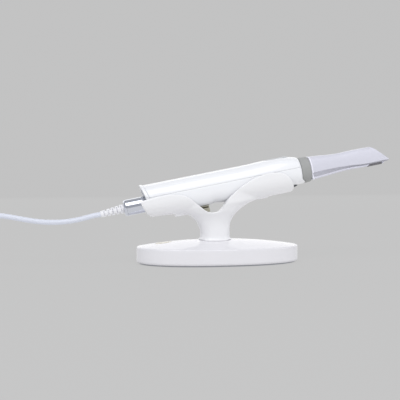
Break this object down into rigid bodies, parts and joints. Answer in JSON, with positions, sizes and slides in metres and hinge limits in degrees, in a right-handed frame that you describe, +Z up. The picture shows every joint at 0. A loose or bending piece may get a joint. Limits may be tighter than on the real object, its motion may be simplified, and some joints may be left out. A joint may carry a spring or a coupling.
{
  "type": "intraoral scanner on a desk cradle",
  "caption": "Corded dental scanning wand with a removable mirror tip, resting in a two-cup cradle on a weighted oval base.",
  "frame": {"origin": "centre of the base's flat underside", "axes": "+X towards the mirror tip along the base's long side, +Z up"},
  "size_m": [0.5108, 0.1037, 0.114],
  "materials": {
    "gloss_white": "gloss moulded ABS",
    "satin_white": "satin-gloss moulded ABS",
    "tip_white": "smooth autoclavable plastic, faintly lavender",
    "seal_grey": "matte grey silicone",
    "cap_grey": "matte moulded plastic",
    "chrome": "polished plating",
    "aluminium": "as cast and machined",
    "steel": "zinc-plated",
    "cast_iron": "as cast",
    "board_green": "circuit board with solder mask",
    "black_plastic": "fine matte texture",
    "glass": "clear, anti-reflection coated",
    "mirror": "front-surface mirror",
    "dark_rubber": "soft matte rubber",
    "silicone": "translucent warm grey silicone",
    "cable_white": "smooth soft jacket, faintly blue",
    "pearl": "pearl inlay"
  },
  "bodies": {
    "stand": {"anti_slip_pad": "dark_rubber", "base_plate": "steel", "base_ballast": "cast_iron", "base_shell": "satin_white", "base_badge": "pearl", "base_screw_1": "steel", "base_screw_2": "steel", "base_screw_3": "steel", "base_screw_4": "steel", "neck_screw_1": "steel", "neck_screw_2": "steel", "cradle": "satin_white", "rear_cradle_pad": "silicone", "front_cradle_pad": "silicone", "cable_run": "cable_white", "cable_coil": "cable_white", "coil_tie": "dark_rubber", "cable_tail": "cable_white", "plug_relief": "cable_white", "plug_body": "cable_white", "plug_shell": "steel"},
    "handpiece": {"upper_shell": "gloss_white", "lower_shell": "gloss_white", "shell_screw_1": "steel", "shell_screw_2": "steel", "shell_screw_3": "steel", "shell_screw_4": "steel", "rear_bezel": "gloss_white", "rear_cap": "cap_grey", "rear_collar": "chrome", "strain_relief": "cable_white", "cable_clamp": "black_plastic", "inner_harness": "black_plastic", "board_connector": "black_plastic", "heat_spreader": "aluminium", "main_board": "board_green", "led_board": "board_green", "projector_module": "black_plastic", "sensor_board": "board_green", "lens_barrel": "black_plastic", "optical_nose": "black_plastic", "nose_window": "glass", "seal_ring": "seal_grey", "button_board": "board_green", "scan_switch": "black_plastic", "trigger_board": "board_green", "trigger_switch": "black_plastic"},
    "scan_button": {"scan_button": "cap_grey"},
    "trigger": {"trigger_button": "dark_rubber"},
    "tip": {"tip_sleeve": "tip_white", "tip_mirror": "mirror"}
  },
  "joints": [
    {"name": "wand_lift", "type": "slide", "parent": "stand", "child": "handpiece", "axis": [-0.1891, 0, 0.982], "range_m": [0, 0.06]},
    {"name": "tip_pull", "type": "slide", "parent": "handpiece", "child": "tip", "axis": [0.982, 0, 0.1891], "range_m": [0, 0.05]},
    {"name": "scan_button_press", "type": "slide", "parent": "handpiece", "child": "scan_button", "axis": [0.1891, 0, -0.982], "range_m": [0, 0.001], "stiffness_N_per_m": 600},
    {"name": "trigger_press", "type": "slide", "parent": "handpiece", "child": "trigger", "axis": [-0.1891, 0, 0.982], "range_m": [0, 0.001], "stiffness_N_per_m": 600}
  ]
}
